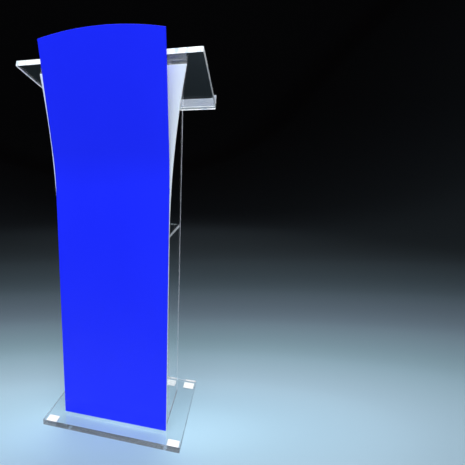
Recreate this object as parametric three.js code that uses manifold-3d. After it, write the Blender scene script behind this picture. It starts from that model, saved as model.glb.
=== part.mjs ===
// A free-standing presentation lectern made of acrylic sheet.
// Two clear side panels stand on a thick clear base and carry a sloping clear top.
// A frosted front panel closes them at the front and flares out towards the top.
// A blue panel lies on the frosted one, bends forward above the shelf and rises past the top.
// Millimetres. +Z is up, the audience is at -Y, the speaker at +Y, and +X is the audience's right.
// The origin is on the floor, at the centre of the lectern's whole footprint.

import * as THREE from 'three';
import { mergeVertices } from 'three/addons/utils/BufferGeometryUtils.js';
import Module from 'manifold-3d';

const wasm = await Module();
wasm.setup();

// Driving dimensions. Depths are measured from the middle of the base, before the last centring.
const totalHeight = 1247;
const glueGap = 0.3;

const pad = { side: 38, thickness: 3, inset: 6 };
const base = { width: 470, depth: 388, thickness: 20, cornerRadius: 3 };
const sides = { outerWidth: 350, thickness: 10, frontY: -118, rearY: 111 };
const shelf = { topZ: 670, thickness: 10, rearY: 92.5 };
const frosted = { width: 360, thickness: 6, flareStartZ: shelf.topZ, flareRadius: 2900 };
const blue = {
  width: 358,
  thickness: 6,
  bendStartZ: 803,
  bendRadius: 580,
  lean: THREE.MathUtils.degToRad(12),
  archRadius: 900,
};
const top = {
  width: 540,
  length: 418,
  thickness: 15,
  slope: THREE.MathUtils.degToRad(15.7),
  rearY: 229,
  rearZ: 1070,
  cornerRadius: 4,
};
const paperStop = { height: 30, thickness: 6, setback: 8 };

// Heights and depths that follow from the driving dimensions.
const baseBottomZ = pad.thickness + glueGap;
const baseTopZ = baseBottomZ + base.thickness;
const panelBottomZ = baseTopZ + glueGap;
const frostedRearY = sides.frontY - glueGap;
const frostedFrontY = frostedRearY - frosted.thickness;
const blueRearY = frostedFrontY - glueGap;
const blueFrontY = blueRearY - blue.thickness;

// Materials, with the colour of each kind of sheet.
const clear = new THREE.MeshStandardMaterial({
  color: 0xe6f0f2,
  roughness: 0.04,
  metalness: 0,
  transparent: true,
  opacity: 0.28,
});
const frostedWhite = new THREE.MeshStandardMaterial({
  color: 0xd3e2f4,
  roughness: 0.5,
  metalness: 0,
  transparent: true,
  opacity: 0.92,
});
const glossBlue = new THREE.MeshStandardMaterial({
  color: 0x1b28f0,
  roughness: 0.06,
  metalness: 0,
});
const whiteFoam = new THREE.MeshStandardMaterial({
  color: 0xf4f4f2,
  roughness: 0.8,
  metalness: 0,
});

// Axes for turning a flat outline into a standing sheet.
const alongX = new THREE.Vector3(1, 0, 0);
const alongY = new THREE.Vector3(0, 1, 0);
const alongZ = new THREE.Vector3(0, 0, 1);
const towardsAudience = new THREE.Vector3(0, -1, 0);

// A rectangle with rounded corners, from its lowest corner.
function roundedRectangle(x, y, width, length, radius) {
  const shape = new THREE.Shape();
  shape.moveTo(x + radius, y);
  shape.lineTo(x + width - radius, y);
  shape.absarc(x + width - radius, y + radius, radius, -Math.PI / 2, 0);
  shape.lineTo(x + width, y + length - radius);
  shape.absarc(x + width - radius, y + length - radius, radius, 0, Math.PI / 2);
  shape.lineTo(x + radius, y + length);
  shape.absarc(x + radius, y + length - radius, radius, Math.PI / 2, Math.PI);
  shape.lineTo(x, y + radius);
  shape.absarc(x + radius, y + radius, radius, Math.PI, Math.PI * 1.5);
  return shape;
}

// An outline cut from sheet of the given thickness.
function cutSheet(shape, thickness, curveSegments = 6) {
  return new THREE.ExtrudeGeometry(shape, {
    depth: thickness,
    bevelEnabled: false,
    curveSegments,
  });
}

// Stands a sheet up so that its outline is a side view, with depth and height as its axes.
function asSideView(geometry) {
  return geometry.applyMatrix4(new THREE.Matrix4().makeBasis(alongY, alongZ, alongX));
}

// Stands a sheet up so that its outline is a front view, with width and height as its axes.
function asFrontView(geometry) {
  return geometry.applyMatrix4(new THREE.Matrix4().makeBasis(alongX, alongZ, towardsAudience));
}

function piece(name, geometry, material, x = 0, y = 0, z = 0) {
  const mesh = new THREE.Mesh(geometry, material);
  mesh.name = name;
  mesh.position.set(x, y, z);
  return mesh;
}

// Height of the sloping top's underside over a given depth.
function undersideZ(y) {
  const drop = top.thickness / Math.cos(top.slope);
  return top.rearZ + (top.rearY - y) * Math.tan(top.slope) - drop;
}

function toSolid(geometry) {
  const bare = geometry.clone();
  bare.deleteAttribute('normal');
  bare.deleteAttribute('uv');
  const merged = mergeVertices(bare, 1e-4);
  const mesh = new wasm.Mesh({
    numProp: 3,
    vertProperties: new Float32Array(merged.attributes.position.array),
    triVerts: new Uint32Array(merged.index.array),
  });
  return new wasm.Manifold(mesh);
}

function toGeometry(solid) {
  const mesh = solid.getMesh();
  const geometry = new THREE.BufferGeometry();
  geometry.setAttribute('position', new THREE.BufferAttribute(mesh.vertProperties, 3));
  geometry.setIndex(new THREE.BufferAttribute(mesh.triVerts, 1));
  return geometry;
}

// Base: a thick rectangle of clear sheet.
function baseGeometry() {
  const outline = roundedRectangle(
    -base.width / 2,
    -base.depth / 2,
    base.width,
    base.depth,
    base.cornerRadius,
  );
  return cutSheet(outline, base.thickness);
}

// Side panel: straight front and rear edges, with the upper edge cut to the slope of the top.
function sidePanelGeometry() {
  const outline = new THREE.Shape();
  outline.moveTo(sides.frontY, panelBottomZ);
  outline.lineTo(sides.rearY, panelBottomZ);
  outline.lineTo(sides.rearY, undersideZ(sides.rearY) - glueGap);
  outline.lineTo(sides.frontY, undersideZ(sides.frontY) - glueGap);
  return asSideView(cutSheet(outline, sides.thickness));
}

// Frosted panel: parallel edges up to the shelf, then two wide arcs that curve outwards.
function frostedGeometry() {
  const half = frosted.width / 2;
  const topZ = undersideZ(frostedRearY) - glueGap;
  const sweep = Math.asin((topZ - frosted.flareStartZ) / frosted.flareRadius);
  const centreX = half + frosted.flareRadius;
  const outline = new THREE.Shape();
  outline.moveTo(-half, panelBottomZ);
  outline.lineTo(half, panelBottomZ);
  outline.lineTo(half, frosted.flareStartZ);
  outline.absarc(centreX, frosted.flareStartZ, frosted.flareRadius, Math.PI, Math.PI - sweep, true);
  outline.absarc(-centreX, frosted.flareStartZ, frosted.flareRadius, sweep, 0, true);
  return asFrontView(cutSheet(outline, frosted.thickness, 20));
}

// Highest point of the blue panel's front face: its rear edge is the higher one, at the full height.
const blueTopFrontZ = totalHeight - blue.thickness * Math.sin(blue.lean);
const bendEndZ = blue.bendStartZ + blue.bendRadius * Math.sin(blue.lean);
const bendEndY = blueFrontY - blue.bendRadius * (1 - Math.cos(blue.lean));
const blueTopFrontY = bendEndY - (blueTopFrontZ - bendEndZ) * Math.tan(blue.lean);

// Blue panel: vertical, bent forward on a wide radius, then straight, with an arched upper edge.
// Its profile starts with the lower edge, runs up the rear face and comes down the front face.
function blueGeometry() {
  const { width, thickness, bendStartZ, bendRadius, lean, archRadius } = blue;
  const spare = 40;
  const endZ = blueTopFrontZ + spare * Math.cos(lean);
  const endY = blueTopFrontY - spare * Math.sin(lean);
  const centreY = blueFrontY - bendRadius;
  const profile = new THREE.Shape();
  profile.moveTo(blueFrontY, panelBottomZ);
  profile.lineTo(blueRearY, panelBottomZ);
  profile.absarc(centreY, bendStartZ, bendRadius + thickness, 0, lean);
  profile.lineTo(endY + thickness * Math.cos(lean), endZ + thickness * Math.sin(lean));
  profile.lineTo(endY, endZ);
  profile.absarc(centreY, bendStartZ, bendRadius, lean, 0, true);
  const bent = asSideView(cutSheet(profile, width, 12));
  bent.translate(-width / 2, 0, 0);

  const reach = totalHeight * 1.2;
  const cutterDepth = totalHeight;
  const arch = new THREE.Shape();
  const halfAngle = Math.asin(width / archRadius / 2 * 1.1);
  arch.moveTo(-archRadius * Math.sin(halfAngle), -reach);
  arch.lineTo(archRadius * Math.sin(halfAngle), -reach);
  arch.absarc(0, -archRadius, archRadius, Math.PI / 2 - halfAngle, Math.PI / 2 + halfAngle);
  const cutter = asFrontView(cutSheet(arch, cutterDepth, 32));
  cutter.translate(0, cutterDepth / 2, 0);
  cutter.rotateX(lean);
  cutter.translate(0, blueTopFrontY, blueTopFrontZ);
  return toGeometry(toSolid(bent).intersect(toSolid(cutter)));
}

// The sloping top and its paper stop, drawn flat from the middle of the top's rear edge.
function topGeometry() {
  const outline = roundedRectangle(
    -top.width / 2,
    -top.length,
    top.width,
    top.length,
    top.cornerRadius,
  );
  return cutSheet(outline, top.thickness);
}

const lectern = new THREE.Group();

const padX = base.width / 2 - pad.inset - pad.side / 2;
const padY = base.depth / 2 - pad.inset - pad.side / 2;
const padPlaces = [
  ['foot_pad_front_left', -padX, -padY],
  ['foot_pad_front_right', padX, -padY],
  ['foot_pad_rear_left', -padX, padY],
  ['foot_pad_rear_right', padX, padY],
];
for (const [name, x, y] of padPlaces) {
  const geometry = new THREE.BoxGeometry(pad.side, pad.side, pad.thickness);
  lectern.add(piece(name, geometry, whiteFoam, x, y, pad.thickness / 2));
}

lectern.add(piece('base_plate', baseGeometry(), clear, 0, 0, baseBottomZ));

const sideInnerX = sides.outerWidth / 2 - sides.thickness;
lectern.add(piece('side_panel_left', sidePanelGeometry(), clear, -sides.outerWidth / 2));
lectern.add(piece('side_panel_right', sidePanelGeometry(), clear, sideInnerX));

lectern.add(piece('front_panel_frosted', frostedGeometry(), frostedWhite, 0, frostedRearY));
lectern.add(piece('front_panel_blue', blueGeometry(), glossBlue));

const shelfWidth = 2 * (sideInnerX - glueGap);
const shelfDepth = shelf.rearY - sides.frontY;
lectern.add(piece(
  'shelf',
  new THREE.BoxGeometry(shelfWidth, shelfDepth, shelf.thickness),
  clear,
  0,
  sides.frontY + shelfDepth / 2,
  shelf.topZ - shelf.thickness / 2,
));

const readingTop = new THREE.Group();
readingTop.position.set(0, top.rearY, top.rearZ);
readingTop.rotation.x = -top.slope;
readingTop.add(piece('top_plate', topGeometry(), clear, 0, 0, -top.thickness));
readingTop.add(piece(
  'paper_stop',
  new THREE.BoxGeometry(top.width, paperStop.thickness, paperStop.height),
  clear,
  0,
  -paperStop.setback - paperStop.thickness / 2,
  glueGap + paperStop.height / 2,
));
lectern.add(readingTop);

// The blue panel's upper edge reaches furthest forward, and the paper stop's upper edge furthest back.
const stopRearY = top.rearY - paperStop.setback * Math.cos(top.slope)
  + (glueGap + paperStop.height) * Math.sin(top.slope);
lectern.position.y = -(blueTopFrontY + stopRearY) / 2;

const group = new THREE.Group();
group.add(lectern);

export default group;
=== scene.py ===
"""Looks of a free-standing acrylic lectern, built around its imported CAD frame.

Everything is in metres, in the frame's own axes: +Z up, the audience at -Y and the speaker at +Y.
Each sheet of the lectern is built again as a finer mesh with polished edges, in its CAD node's place.
Beads of cement are added in the corners of the glued joints.
"""

import math

import bmesh
import bpy
from mathutils import Matrix, Vector


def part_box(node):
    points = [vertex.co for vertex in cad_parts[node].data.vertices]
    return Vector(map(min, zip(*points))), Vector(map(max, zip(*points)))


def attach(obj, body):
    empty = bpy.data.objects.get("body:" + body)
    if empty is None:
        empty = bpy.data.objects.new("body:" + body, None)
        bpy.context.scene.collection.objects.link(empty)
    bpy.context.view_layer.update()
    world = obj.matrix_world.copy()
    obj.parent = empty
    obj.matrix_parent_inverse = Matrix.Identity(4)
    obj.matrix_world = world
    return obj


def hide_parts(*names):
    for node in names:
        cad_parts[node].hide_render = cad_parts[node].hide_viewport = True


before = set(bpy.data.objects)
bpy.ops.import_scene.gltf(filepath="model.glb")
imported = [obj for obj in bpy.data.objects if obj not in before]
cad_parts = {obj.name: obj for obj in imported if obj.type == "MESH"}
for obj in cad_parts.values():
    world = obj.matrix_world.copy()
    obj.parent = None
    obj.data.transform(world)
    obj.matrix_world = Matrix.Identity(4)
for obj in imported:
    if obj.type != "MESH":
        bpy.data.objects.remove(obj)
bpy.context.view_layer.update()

# Sizes that a box around a node doesn't give.
TOP_SLOPE = math.radians(15.7)
TOP_THICKNESS = 0.015
TOP_LENGTH = 0.418
TOP_CORNER = 0.004
BASE_CORNER = 0.003
STOP_HEIGHT = 0.030
STOP_THICKNESS = 0.006
FROSTED_WIDTH = 0.360
FLARE_RADIUS = 2.9
BLUE_THICKNESS = 0.006
BEND_START_Z = 0.803
BEND_RADIUS = 0.580
BLUE_LEAN = math.radians(12)
ARCH_RADIUS = 0.900
PAD_CORNER = 0.003

# How far the edges are eased: of most sheets, of the base, of the side panels and of the soft pads.
EASED_EDGE = 0.0008
BASE_EDGE = 0.0009
SIDE_EDGE = 0.0006
SOFT_EDGE = 0.0011

# Corners sharper than this are eased, and are shaded as corners.
SHARP_ANGLE = math.radians(40)

# The side panels, the shelf and the paper stop sink by the bond into the sheets they are glued to,
# which closes the frame's gap there.
BOND = 0.0001

# A bead of cement lies in the corner of each glued joint. The two at the paper stop are larger.
BEAD_LEG = 0.0016
STOP_BEAD_LEG = 0.0028
BEAD_STEPS = 4

# Places in a piece's list of materials: of a sheet's cut edges, and of the paper stop's whiter beads.
EDGE_SKIN = 1
STOP_BEAD_SKIN = 1

# Camera, at the height and side from which the lectern is seen.
CAMERA_PLACE = (0.405, -1.323, 0.948)
CAMERA_TURN_LEFT = math.radians(18.13)
CAMERA_LOOK_DOWN = math.radians(12.20)
CAMERA_ROLL = math.radians(-0.71)
CAMERA_LENS_MM = 32.3
CAMERA_SENSOR_MM = 36
CAMERA_SHIFT = 0.25

# The floor is flat out to its last ring, then sweeps up into a round wall.
FLOOR_RINGS = (0.4, 1.0, 2.0, 3.6)
FLOOR_TURNS = 96
SWEEP_RADIUS = 1.4
SWEEP_STEPS = 12
WALL_TOP = 4.4

# The floor's colour holds a painted pool of light: pale in the middle, it darkens over the reach into
# painted shade.
# Its pale pool is drawn out sideways, square to the camera's heading, and is fixed to the floor.
POOL_CENTRE = (0.047, -0.143, 0)
POOL_TURN = CAMERA_TURN_LEFT
POOL_STRETCH = 3.0
POOL_REACH = 5.0

# The floor's painted light at places along the reach, from 0 at the pool's centre to 1 at its end.
FLOOR_PAINTED_LIGHT = [
    (0.000, (0.300, 0.450, 0.560)),
    (0.031, (0.248, 0.366, 0.455)),
    (0.066, (0.208, 0.294, 0.358)),
    (0.115, (0.128, 0.190, 0.226)),
    (0.182, (0.0700, 0.0965, 0.1200)),
    (0.278, (0.0296, 0.0416, 0.0510)),
    (0.422, (0.0118, 0.0158, 0.0188)),
    (0.666, (0.0056, 0.0070, 0.0084)),
    (0.950, (0.0018, 0.0018, 0.0021)),
]

# Lights: name, degrees round from the audience's side towards +X, height and power in watts.
LIGHTS = (
    ("soft_front_left", -32, 4.0, 56),
    ("soft_front_right", 42, 4.0, 60),
    ("soft_rear_right", 140, 4.0, 34),
    ("soft_rear_left", 220, 4.0, 34),
    ("fill_front", 10, 2.2, 94),
    ("fill_rear", 185, 2.2, 84),
)
LIGHT_WIDTH = 3.4
LIGHT_DISTANCE = 2.9
LIGHT_AIM = (0, 0, 0.7)
SKY_COLOUR = (0.96, 0.98, 1.0, 1)
SKY_STRENGTH = 1.24


# ---------------------------------------------------------------- mesh building

def rounded_rectangle(low_u, low_v, high_u, high_v, radius, steps=5):
    """Corners of a rectangle with rounded corners, anticlockwise."""
    centres = (
        (high_u - radius, high_v - radius),
        (low_u + radius, high_v - radius),
        (low_u + radius, low_v + radius),
        (high_u - radius, low_v + radius),
    )
    points = []
    for quarter, (centre_u, centre_v) in enumerate(centres):
        for step in range(steps + 1):
            angle = (quarter + step / steps) * math.pi / 2
            points.append((centre_u + radius * math.cos(angle), centre_v + radius * math.sin(angle)))
    return points


def axes(u, v, w, origin=(0, 0, 0)):
    """A matrix that carries a flat outline's own axes u, v and its thickness w into the frame."""
    matrix = Matrix((u, v, w)).transposed().to_4x4()
    matrix.translation = Vector(origin)
    return matrix


FRONT_VIEW = ((1, 0, 0), (0, 0, 1), (0, -1, 0))
SIDE_VIEW = ((0, 1, 0), (0, 0, 1), (1, 0, 0))
PLAN_VIEW = ((1, 0, 0), (0, 1, 0), (0, 0, 1))


def add_piece(name, mesh, node, skins, casts_shadow):
    """Adds a mesh as a visible piece, with its materials.

    The piece replaces its CAD node, if it stands for one. Without a shadow it also stays out of
    diffuse light, so that a clear piece lets the soft light through to what is under and behind it.
    """
    piece = bpy.data.objects.new(name, mesh)
    bpy.context.scene.collection.objects.link(piece)
    for skin in skins:
        mesh.materials.append(skin)
    if not casts_shadow:
        piece.visible_shadow = False
        piece.visible_diffuse = False
    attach(piece, "root")
    if node:
        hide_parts(node)
    return piece


def ease_edges(piece, width, segments=3):
    """Rounds the sharp edges of a piece, and keeps its flat faces flat."""
    bevel = piece.modifiers.new("eased_edges", "BEVEL")
    bevel.width = width
    bevel.segments = segments
    bevel.limit_method = "ANGLE"
    bevel.angle_limit = SHARP_ANGLE
    bevel.harden_normals = True
    bevel.use_clamp_overlap = True


def smooth_mesh(name, bm):
    """Makes a smoothly shaded mesh of a bmesh."""
    for face in bm.faces:
        face.smooth = True
    mesh = bpy.data.meshes.new(name)
    bm.to_mesh(mesh)
    bm.free()
    return mesh


def closed_mesh(name, bm):
    """Makes a mesh of a closed bmesh, with its faces pointing out and its corners kept sharp."""
    bmesh.ops.recalc_face_normals(bm, faces=bm.faces)
    mesh = smooth_mesh(name, bm)
    mesh.set_sharp_from_angle(angle=SHARP_ANGLE)
    return mesh


def slab_mesh(name, outline, thickness, place):
    """A sheet cut to an outline. Its two faces take the first material and its edges the second."""
    bm = bmesh.new()
    near = [bm.verts.new(place @ Vector((u, v, 0))) for u, v in outline]
    far = [bm.verts.new(place @ Vector((u, v, thickness))) for u, v in outline]
    bm.faces.new(list(reversed(near)))
    bm.faces.new(far)
    count = len(outline)
    for i in range(count):
        j = (i + 1) % count
        rim = bm.faces.new((near[i], near[j], far[j], far[i]))
        rim.material_index = EDGE_SKIN
    return closed_mesh(name, bm)


# ---------------------------------------------------------------- materials

# Noise keeps mostly between these two values.
NOISE_LOW = 0.3
NOISE_HIGH = 0.7


class Graph:
    """A material's node tree, with its Principled shader and the object's coordinates in metres."""

    def __init__(self, name):
        self.material = bpy.data.materials.new(name)
        self.material.use_nodes = True
        self.tree = self.material.node_tree
        self.shader = next(n for n in self.tree.nodes if n.type == "BSDF_PRINCIPLED")
        self.metres = self.tree.nodes.new("ShaderNodeTexCoord").outputs["Object"]

    def set(self, **values):
        """Sets the shader's sockets to plain values. An underscore stands for a space in a label."""
        for label, value in values.items():
            self.shader.inputs[label.replace("_", " ")].default_value = value

    def feed(self, label, output):
        """Links an output to one of the shader's sockets."""
        self.tree.links.new(output, self.shader.inputs[label])

    def noise(self, scale, detail=2.0, stretch=(1, 1, 1), roughness=0.5):
        """Noise with a number of grains to the metre, drawn out along an axis where stretch is small."""
        mapping = self.tree.nodes.new("ShaderNodeMapping")
        mapping.inputs["Scale"].default_value = stretch
        self.tree.links.new(self.metres, mapping.inputs["Vector"])
        texture = self.tree.nodes.new("ShaderNodeTexNoise")
        texture.inputs["Scale"].default_value = scale
        texture.inputs["Detail"].default_value = detail
        texture.inputs["Roughness"].default_value = roughness
        self.tree.links.new(mapping.outputs["Vector"], texture.inputs["Vector"])
        return texture.outputs["Fac"]

    def ramp(self, source, stops, smoothing="EASE"):
        """Colours along a value: stops is a list of (place, colour)."""
        node = self.tree.nodes.new("ShaderNodeValToRGB")
        node.color_ramp.interpolation = smoothing
        elements = node.color_ramp.elements
        while len(elements) < len(stops):
            elements.new(0.5)
        for element, (place, colour) in zip(elements, stops):
            element.position = place
            element.color = (*colour, 1)
        self.tree.links.new(source, node.inputs["Fac"])
        return node.outputs["Color"]

    def drift(self, noise, dark, bright, low=NOISE_LOW, high=NOISE_HIGH):
        """A colour that drifts with a noise, dark below the low value and bright above the high one."""
        return self.ramp(noise, [(low, dark), (high, bright)])

    def span(self, source, low, high, source_low=NOISE_LOW, source_high=NOISE_HIGH):
        """A value spread over a range."""
        node = self.tree.nodes.new("ShaderNodeMapRange")
        node.inputs["From Min"].default_value = source_low
        node.inputs["From Max"].default_value = source_high
        node.inputs["To Min"].default_value = low
        node.inputs["To Max"].default_value = high
        self.tree.links.new(source, node.inputs["Value"])
        return node.outputs["Result"]

    def bump(self, source, strength, depth):
        """Small relief, depth metres high at full strength."""
        node = self.tree.nodes.new("ShaderNodeBump")
        node.inputs["Strength"].default_value = strength
        node.inputs["Distance"].default_value = depth
        self.tree.links.new(source, node.inputs["Height"])
        self.feed("Normal", node.outputs["Normal"])


ACRYLIC_IOR = 1.49


def clear_face(name):
    """The polished face of cast acrylic: clear, hardly tinted, and very slightly wavy."""
    graph = Graph(name)
    graph.set(Transmission_Weight=1.0, IOR=ACRYLIC_IOR)
    graph.feed("Base Color", graph.drift(
        graph.noise(4), dark=(0.972, 0.985, 0.990), bright=(0.990, 0.996, 0.998)
    ))
    graph.feed("Roughness", graph.span(graph.noise(55, detail=4), 0.0, 0.006))
    graph.bump(graph.noise(3.5, detail=1), strength=0.12, depth=0.0006)
    return graph.material


def clear_edge(name, haze_and_glow, bright, dark, grains, stretch=(1, 1, 1), gloss=(0.08, 0.24)):
    """A sawn and polished edge of cast acrylic, with faint marks in it. Its diffuse white share, the haze
    and glow, is partly the edge's own cloudiness and partly painted glow of the light that a sheet carries
    to its edges.

    The marks have a number of grains to the metre. The gloss is the range of the roughness.
    """
    graph = Graph(name)
    # The diffuse white share is partly real haze and partly painted edge glow.
    graph.set(Transmission_Weight=1.0 - haze_and_glow, IOR=ACRYLIC_IOR)
    marks = graph.noise(grains, detail=3, stretch=stretch, roughness=0.6)
    graph.feed("Base Color", graph.drift(marks, dark, bright, low=0.34, high=0.50))
    sheen = graph.noise(grains * 4, detail=2, stretch=stretch)
    graph.feed("Roughness", graph.span(sheen, *gloss))
    relief = graph.noise(grains * 6, detail=2, stretch=stretch)
    graph.bump(relief, strength=0.15, depth=0.0002)
    return graph.material


def frosted_face():
    """Frosted acrylic: milky with a blue cast, faint clouds, and a sandblasted grain."""
    graph = Graph("frosted_face")
    graph.set(Transmission_Weight=0.22, IOR=ACRYLIC_IOR, Specular_IOR_Level=0.35)
    clouds = graph.noise(6, detail=4, stretch=(1, 1, 0.4))
    graph.feed("Base Color", graph.drift(clouds, dark=(0.72, 0.83, 0.895), bright=(0.785, 0.88, 0.935)))
    graph.feed("Roughness", graph.span(graph.noise(300, detail=3), 0.42, 0.6))
    graph.bump(graph.noise(1400, detail=3), strength=0.25, depth=0.0002)
    return graph.material


def frosted_edge():
    """The cut edge of the frosted sheet, whiter than its face: partly its own haze and partly painted glow
    of light carried through the sheet.
    """
    graph = Graph("frosted_edge")
    graph.set(Transmission_Weight=0.15, IOR=ACRYLIC_IOR)
    marks = graph.noise(30, detail=3)
    graph.feed("Base Color", graph.drift(
        marks, dark=(0.84, 0.90, 0.96), bright=(0.93, 0.96, 0.99), high=0.6
    ))
    graph.feed("Roughness", graph.span(graph.noise(160), 0.2, 0.38))
    graph.bump(graph.noise(500), strength=0.2, depth=0.0002)
    return graph.material


def blue_gloss(name, deep, light, roughness):
    """Blue acrylic, coloured through and polished, with a faint drift of shade in the sheet."""
    graph = Graph(name)
    graph.set(IOR=ACRYLIC_IOR, Specular_IOR_Level=0.22)
    shade = graph.noise(1.6, detail=3, stretch=(1, 1, 0.6))
    graph.feed("Base Color", graph.drift(shade, dark=deep, bright=light))
    graph.feed("Roughness", graph.span(graph.noise(70, detail=4), roughness, roughness + 0.03))
    graph.bump(graph.noise(5, detail=1), strength=0.10, depth=0.0005)
    return graph.material


def pad_foam():
    """White closed-cell foam: matt, with fine pores and a few grey flecks."""
    graph = Graph("pad_foam")
    graph.set(Specular_IOR_Level=0.25)
    flecks = graph.noise(900, detail=5, roughness=0.7)
    graph.feed("Base Color", graph.drift(
        flecks, dark=(0.66, 0.66, 0.66), bright=(0.80, 0.80, 0.80), high=0.48
    ))
    graph.feed("Roughness", graph.span(graph.noise(500), 0.72, 0.92))
    graph.bump(graph.noise(1600, detail=3), strength=0.5, depth=0.0003)
    return graph.material


# ---------------------------------------------------------------- the lectern

low = {name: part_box(name)[0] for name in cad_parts}
high = {name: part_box(name)[1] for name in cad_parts}

skin_clear = clear_face("clear_face")
skin_blue = blue_gloss(
    "blue_face", deep=(0.0100, 0.021, 0.83), light=(0.0125, 0.026, 0.89), roughness=0.07
)
skin_blue_edge = blue_gloss(
    "blue_edge", deep=(0.006, 0.014, 0.80), light=(0.012, 0.024, 0.95), roughness=0.16
)


def build_pads():
    """The soft pads under the base, one for each pad node."""
    foam = pad_foam()
    for node in sorted(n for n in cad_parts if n.startswith("foot_pad_")):
        name = "pad_" + node.removeprefix("foot_pad_")
        outline = rounded_rectangle(low[node].x, low[node].y, high[node].x, high[node].y, PAD_CORNER)
        thickness = high[node].z - low[node].z
        place = axes(*PLAN_VIEW, (0, 0, low[node].z))
        mesh = slab_mesh(name, outline, thickness, place)
        piece = add_piece(name, mesh, node, (foam, foam), True)
        ease_edges(piece, SOFT_EDGE, segments=4)


def build_base():
    """The thick clear base. Its edges' marks run along them."""
    node = "base_plate"
    # The base's edges are hazy grey: partly their own haze, partly painted glow of light carried through the
    # base.
    edge = clear_edge(
        "base_edge",
        haze_and_glow=0.26,
        bright=(0.68, 0.73, 0.78),
        dark=(0.34, 0.37, 0.41),
        grains=60,
        stretch=(0.05, 0.05, 1),
        gloss=(0.03, 0.09),
    )
    outline = rounded_rectangle(low[node].x, low[node].y, high[node].x, high[node].y, BASE_CORNER)
    place = axes(*PLAN_VIEW, (0, 0, low[node].z))
    mesh = slab_mesh("base", outline, high[node].z - low[node].z, place)
    piece = add_piece("base", mesh, node, (skin_clear, edge), False)
    ease_edges(piece, BASE_EDGE, segments=5)


def build_sides():
    """The side panels. Their upper edges follow the sloping top's underside."""
    # The side panels' edges are a cloudy grey-lilac: partly their own haze, partly painted glow of light
    # carried along the panels.
    edge = clear_edge(
        "side_edge",
        haze_and_glow=0.85,
        bright=(0.62, 0.62, 0.69),
        dark=(0.52, 0.52, 0.59),
        grains=22,
        gloss=(0.03, 0.08),
    )
    for side in ("left", "right"):
        node = f"side_panel_{side}"
        front_y = high["front_panel_frosted"].y - BOND
        rear_y = high[node].y
        bottom_z = high["base_plate"].z - BOND
        glue_gap = low[node].z - high["base_plate"].z
        rise = math.tan(TOP_SLOPE)
        front_z = high[node].z + glue_gap + BOND + (low[node].y - front_y) * rise
        rear_z = front_z - (rear_y - front_y) * rise
        outline = [(front_y, bottom_z), (rear_y, bottom_z), (rear_y, rear_z), (front_y, front_z)]
        place = axes(*SIDE_VIEW, (low[node].x, 0, 0))
        mesh = slab_mesh(f"side_{side}", outline, high[node].x - low[node].x, place)
        piece = add_piece(f"side_{side}", mesh, node, (skin_clear, edge), False)
        ease_edges(piece, SIDE_EDGE, segments=6)


def build_shelf():
    """The clear shelf, which fills the width between the side panels and reaches the frosted one."""
    node = "shelf"
    # The shelf's edges are near white: partly their own haze, partly painted glow of light carried along the
    # shelf.
    edge = clear_edge(
        "shelf_edge",
        haze_and_glow=0.62,
        bright=(0.88, 0.90, 0.93),
        dark=(0.70, 0.72, 0.76),
        grains=40,
        stretch=(1, 1, 0.2),
    )
    inner = low["side_panel_right"].x + BOND
    front_y = high["front_panel_frosted"].y - BOND
    rear_y = high[node].y
    outline = [(-inner, front_y), (inner, front_y), (inner, rear_y), (-inner, rear_y)]
    place = axes(*PLAN_VIEW, (0, 0, low[node].z))
    mesh = slab_mesh("shelf_sheet", outline, high[node].z - low[node].z, place)
    piece = add_piece("shelf_sheet", mesh, node, (skin_clear, edge), False)
    ease_edges(piece, EASED_EDGE)


def build_frosted():
    """The frosted panel: parallel edges up to the shelf, then two wide arcs that curve outwards."""
    node = "front_panel_frosted"
    half = FROSTED_WIDTH / 2
    flare_z = high["shelf"].z
    top_z = high[node].z
    steps = 48
    sweep = math.asin((top_z - flare_z) / FLARE_RADIUS)
    flare = []
    for step in range(steps + 1):
        angle = sweep * step / steps
        flare.append((half + FLARE_RADIUS * (1 - math.cos(angle)), flare_z + FLARE_RADIUS * math.sin(angle)))
    outline = [(-half, low[node].z), (half, low[node].z), *flare]
    outline += [(-u, v) for u, v in reversed(flare)]
    place = axes(*FRONT_VIEW, (0, high[node].y, 0))
    mesh = slab_mesh("frosted_front", outline, high[node].y - low[node].y, place)
    piece = add_piece("frosted_front", mesh, node, (frosted_face(), frosted_edge()), True)
    ease_edges(piece, EASED_EDGE)


def blue_profile(length):
    """Place and lean of the blue panel's rear face, a length along it from its lower edge."""
    rear_y = high["front_panel_blue"].y
    straight = BEND_START_Z - low["front_panel_blue"].z
    outer = BEND_RADIUS + BLUE_THICKNESS
    if length <= straight:
        return rear_y, low["front_panel_blue"].z + length, 0.0
    lean = min((length - straight) / outer, BLUE_LEAN)
    beyond = length - straight - outer * lean
    y = rear_y - outer * (1 - math.cos(lean)) - beyond * math.sin(lean)
    z = BEND_START_Z + outer * math.sin(lean) + beyond * math.cos(lean)
    return y, z, lean


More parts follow.
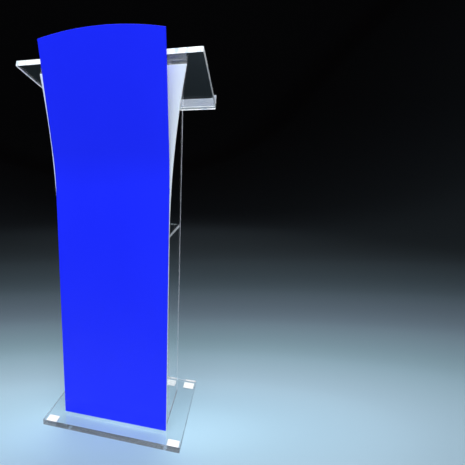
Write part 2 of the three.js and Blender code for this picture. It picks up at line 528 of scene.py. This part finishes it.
def build_blue():
    """A sheet bent over its whole width, whose upper edge is an arch in its own plane."""
    node = "front_panel_blue"
    half = high[node].x
    straight = BEND_START_Z - low[node].z
    bend = (BEND_RADIUS + BLUE_THICKNESS) * BLUE_LEAN
    crown = straight + bend + (high[node].z - blue_profile(straight + bend)[1]) / math.cos(BLUE_LEAN)
    columns, bend_rows, plain_rows = 40, 28, 6
    bm = bmesh.new()
    rear, front = [], []
    for column in range(columns + 1):
        x = -half + 2 * half * column / columns
        drop = ARCH_RADIUS - math.sqrt(ARCH_RADIUS**2 - x * x)
        lengths = [straight * row / plain_rows for row in range(plain_rows)]
        lengths += [straight + bend * row / bend_rows for row in range(bend_rows)]
        rest = crown - drop - straight - bend
        lengths += [straight + bend + rest * row / plain_rows for row in range(plain_rows + 1)]
        rear.append([])
        front.append([])
        for length in lengths:
            y, z, lean = blue_profile(length)
            rear[-1].append(bm.verts.new((x, y, z)))
            offset_y = -BLUE_THICKNESS * math.cos(lean)
            offset_z = -BLUE_THICKNESS * math.sin(lean)
            front[-1].append(bm.verts.new((x, y + offset_y, z + offset_z)))
    rows = len(rear[0])
    for i in range(columns):
        for j in range(rows - 1):
            bm.faces.new((rear[i][j], rear[i + 1][j], rear[i + 1][j + 1], rear[i][j + 1]))
            bm.faces.new((front[i][j], front[i][j + 1], front[i + 1][j + 1], front[i + 1][j]))
        for j in (0, rows - 1):
            rim = bm.faces.new((rear[i][j], rear[i + 1][j], front[i + 1][j], front[i][j]))
            rim.material_index = EDGE_SKIN
    for j in range(rows - 1):
        for i in (0, columns):
            rim = bm.faces.new((rear[i][j], rear[i][j + 1], front[i][j + 1], front[i][j]))
            rim.material_index = EDGE_SKIN
    mesh = closed_mesh("blue_front", bm)
    piece = add_piece("blue_front", mesh, node, (skin_blue, skin_blue_edge), True)
    ease_edges(piece, EASED_EDGE)


def sloping_place():
    """The top plate's own axes. Their origin is on its upper face, at the middle of the rear edge."""
    rear_z = high["top_plate"].z - TOP_LENGTH * math.sin(TOP_SLOPE)
    return Matrix.Translation((0, high["top_plate"].y, rear_z)) @ Matrix.Rotation(-TOP_SLOPE, 4, "X")


def stop_setback():
    """Distance along the top plate from its rear edge to the paper stop's rear face."""
    behind = high["top_plate"].y - high["paper_stop"].y + STOP_HEIGHT * math.sin(TOP_SLOPE)
    return behind / math.cos(TOP_SLOPE)


def build_top():
    """The sloping top, and the paper stop that stands square on it. Both are drawn flat, then tilted."""
    node = "top_plate"
    place = sloping_place()
    # The top's edges are almost wholly diffuse near white: partly their own haze, partly painted glow of
    # light carried along the plate.
    edge = clear_edge(
        "top_edge",
        haze_and_glow=0.95,
        bright=(0.90, 0.93, 0.96),
        dark=(0.50, 0.60, 0.70),
        grains=45,
        stretch=(1, 1, 0.2),
    )
    half = high[node].x
    outline = rounded_rectangle(-half, -TOP_LENGTH, half, 0, TOP_CORNER)
    underside = place @ Matrix.Translation((0, 0, -TOP_THICKNESS))
    mesh = slab_mesh("sloping_top", outline, TOP_THICKNESS, underside)
    piece = add_piece("sloping_top", mesh, node, (skin_clear, edge), False)
    ease_edges(piece, EASED_EDGE)

    node = "paper_stop"
    half = high[node].x
    outline = [(-half, -BOND), (half, -BOND), (half, STOP_HEIGHT), (-half, STOP_HEIGHT)]
    stand = place @ axes(*FRONT_VIEW, (0, -stop_setback(), 0))
    mesh = slab_mesh("stop_strip", outline, STOP_THICKNESS, stand)
    milky = clear_edge(
        "stop_face",
        haze_and_glow=0.28,
        bright=(0.74, 0.81, 0.92),
        dark=(0.66, 0.74, 0.88),
        grains=12,
    )
    piece = add_piece("stop_strip", mesh, node, (milky, edge), False)
    ease_edges(piece, EASED_EDGE)


def add_bead(bm, start, end, one_way, other_way, leg=BEAD_LEG, skin=0):
    """A hollow-faced bead in a corner, from start to end. Its two legs lie on the two sheets."""
    one_way = Vector(one_way)
    other_way = Vector(other_way)
    rings = []
    for point in (start, end):
        corner = Vector(point) - (one_way + other_way) * BOND
        hollow = corner + (one_way + other_way) * leg
        ring = [bm.verts.new(corner)]
        for step in range(BEAD_STEPS + 1):
            angle = math.pi / 2 * step / BEAD_STEPS
            reach = other_way * math.cos(angle) + one_way * math.sin(angle)
            ring.append(bm.verts.new(hollow - reach * leg))
        rings.append(ring)
    faces = [bm.faces.new(rings[0]), bm.faces.new(rings[1])]
    count = len(rings[0])
    for i in range(count):
        j = (i + 1) % count
        faces.append(bm.faces.new((rings[0][i], rings[0][j], rings[1][j], rings[1][i])))
    for face in faces:
        face.material_index = skin


def joint_corners():
    """The corners where sheets are glued: start, end, and the ways that the two sheets lead away.

    The paper stop's two also give their bead's leg and its place in the list of materials.
    """
    up, down, back, forward = (0, 0, 1), (0, 0, -1), (0, 1, 0), (0, -1, 0)
    inner = low["side_panel_right"].x
    outer = high["side_panel_right"].x
    front = high["front_panel_frosted"].y
    rear = high["side_panel_right"].y
    foot = high["base_plate"].z
    sloping = sloping_place()
    turn = sloping.to_3x3()
    under = []
    for y in (front, rear):
        from_rear = y - high["top_plate"].y + TOP_THICKNESS * math.sin(TOP_SLOPE)
        under.append(from_rear / math.cos(TOP_SLOPE))
    head = (sloping @ Vector((0, under[0], -TOP_THICKNESS))).z
    corners = [((-inner, front, foot), (inner, front, foot), back, up)]
    for z, way in ((high["shelf"].z, up), (low["shelf"].z, down)):
        corners.append(((-inner, front, z), (inner, front, z), back, way))
    for sign in (-1, 1):
        corners.append(((sign * inner, rear, foot), (sign * outer, rear, foot), back, up))
        for x, way in ((sign * outer, (sign, 0, 0)), (sign * inner, (-sign, 0, 0))):
            corners.append(((x, front, foot), (x, rear, foot), way, up))
            corners.append(((x, front, foot), (x, front, head), way, back))
            ends = [sloping @ Vector((x, along, -TOP_THICKNESS)) for along in under]
            corners.append((*ends, way, turn @ Vector(down)))
        for z, way in ((high["shelf"].z, up), (low["shelf"].z, down)):
            x = sign * inner
            corners.append(((x, front, z), (x, high["shelf"].y, z), (-sign, 0, 0), way))
    half = high["paper_stop"].x
    for along, way in ((-stop_setback(), back), (-stop_setback() - STOP_THICKNESS, forward)):
        ends = [sloping @ Vector((x, along, 0)) for x in (-half, half)]
        corners.append((*ends, turn @ Vector(way), turn @ Vector(up), STOP_BEAD_LEG, STOP_BEAD_SKIN))
    return corners


def build_cement():
    """The cement that has crept out of the glued joints and set there, whiter at the paper stop."""
    bm = bmesh.new()
    for corner in joint_corners():
        add_bead(bm, *corner)
    mesh = closed_mesh("cement_beads", bm)
    clear = clear_edge(
        "cement",
        haze_and_glow=0.06,
        bright=(0.50, 0.53, 0.57),
        dark=(0.30, 0.33, 0.37),
        grains=180,
        gloss=(0.03, 0.12),
    )
    white = clear_edge(
        "stop_cement",
        haze_and_glow=0.90,
        bright=(0.92, 0.94, 0.96),
        dark=(0.76, 0.80, 0.84),
        grains=180,
    )
    add_piece("cement_beads", mesh, None, (clear, white), False)


build_pads()
build_base()
build_sides()
build_shelf()
build_frosted()
build_blue()
build_top()
build_cement()


# ---------------------------------------------------------------- floor, backdrop, light and camera

def studio_floor_mesh():
    """A flat floor that sweeps up into a round wall."""
    flat = FLOOR_RINGS[-1]
    profile = [(radius, 0.0) for radius in FLOOR_RINGS]
    for step in range(1, SWEEP_STEPS + 1):
        angle = math.pi / 2 * step / SWEEP_STEPS
        profile.append((flat + SWEEP_RADIUS * math.sin(angle), SWEEP_RADIUS * (1 - math.cos(angle))))
    profile.append((flat + SWEEP_RADIUS, WALL_TOP))
    bm = bmesh.new()
    centre = bm.verts.new((0, 0, 0))
    rings = []
    for radius, z in profile:
        ring = []
        for turn in range(FLOOR_TURNS):
            angle = 2 * math.pi * turn / FLOOR_TURNS
            ring.append(bm.verts.new((radius * math.cos(angle), radius * math.sin(angle), z)))
        rings.append(ring)
    for turn in range(FLOOR_TURNS):
        after = (turn + 1) % FLOOR_TURNS
        bm.faces.new((centre, rings[0][turn], rings[0][after]))
        for inner, outer in zip(rings, rings[1:]):
            bm.faces.new((inner[turn], outer[turn], outer[after], inner[after]))
    return smooth_mesh("studio_floor", bm)


def build_studio_floor():
    """The floor and wall, matt, with a painted pool of light: pale round the lectern and painted darker with
    distance.
    """
    mesh = studio_floor_mesh()
    floor = bpy.data.objects.new("studio_floor", mesh)
    bpy.context.scene.collection.objects.link(floor)
    graph = Graph("painted_light_floor")
    graph.set(Specular_IOR_Level=0.0, Roughness=1.0)
    pool = graph.tree.nodes.new("ShaderNodeMapping")
    pool.vector_type = "TEXTURE"
    pool.inputs["Location"].default_value = POOL_CENTRE
    pool.inputs["Rotation"].default_value = (0, 0, POOL_TURN)
    pool.inputs["Scale"].default_value = (POOL_STRETCH, 1, 1)
    graph.tree.links.new(graph.metres, pool.inputs["Vector"])
    reach = graph.tree.nodes.new("ShaderNodeVectorMath")
    reach.operation = "LENGTH"
    graph.tree.links.new(pool.outputs["Vector"], reach.inputs[0])
    distance = graph.span(reach.outputs["Value"], 0, 1, source_low=0, source_high=POOL_REACH)
    # The floor's colour is painted light: a pale pool round the lectern that fades into painted shade.
    graph.feed("Base Color", graph.ramp(distance, FLOOR_PAINTED_LIGHT, smoothing="CARDINAL"))
    mesh.materials.append(graph.material)


def build_lights():
    """Large soft lights round the lectern, two of them low, and an even sky above the wall.

    Polished faces mirror the sky and the surroundings, but the lights are hidden from them.
    """
    for name, turn, height, power in LIGHTS:
        data = bpy.data.lights.new(name, "AREA")
        data.shape = "DISK"
        data.size = LIGHT_WIDTH
        data.energy = power
        light = bpy.data.objects.new(name, data)
        angle = math.radians(turn)
        light.location = (LIGHT_DISTANCE * math.sin(angle), -LIGHT_DISTANCE * math.cos(angle), height)
        aim = Vector(LIGHT_AIM) - light.location
        light.rotation_euler = aim.to_track_quat("-Z", "Y").to_euler()
        light.visible_camera = False
        light.visible_glossy = False
        light.visible_transmission = False
        bpy.context.scene.collection.objects.link(light)
    world = bpy.data.worlds.new("even_sky")
    world.use_nodes = True
    sky = world.node_tree.nodes["Background"]
    sky.inputs["Color"].default_value = SKY_COLOUR
    sky.inputs["Strength"].default_value = SKY_STRENGTH
    bpy.context.scene.world = world


def build_camera():
    """The camera, turned left, then tipped down, then rolled."""
    data = bpy.data.cameras.new("camera")
    data.lens = CAMERA_LENS_MM
    data.sensor_width = CAMERA_SENSOR_MM
    data.shift_x = CAMERA_SHIFT
    camera = bpy.data.objects.new("camera", data)
    heading = Matrix.Rotation(CAMERA_TURN_LEFT, 4, "Z")
    pitch = Matrix.Rotation(math.pi / 2 - CAMERA_LOOK_DOWN, 4, "X")
    roll = Matrix.Rotation(CAMERA_ROLL, 4, "Z")
    camera.matrix_world = Matrix.Translation(CAMERA_PLACE) @ heading @ pitch @ roll
    bpy.context.scene.collection.objects.link(camera)
    bpy.context.scene.camera = camera


build_studio_floor()
build_lights()
build_camera()
bpy.context.scene.view_settings.view_transform = "Standard"
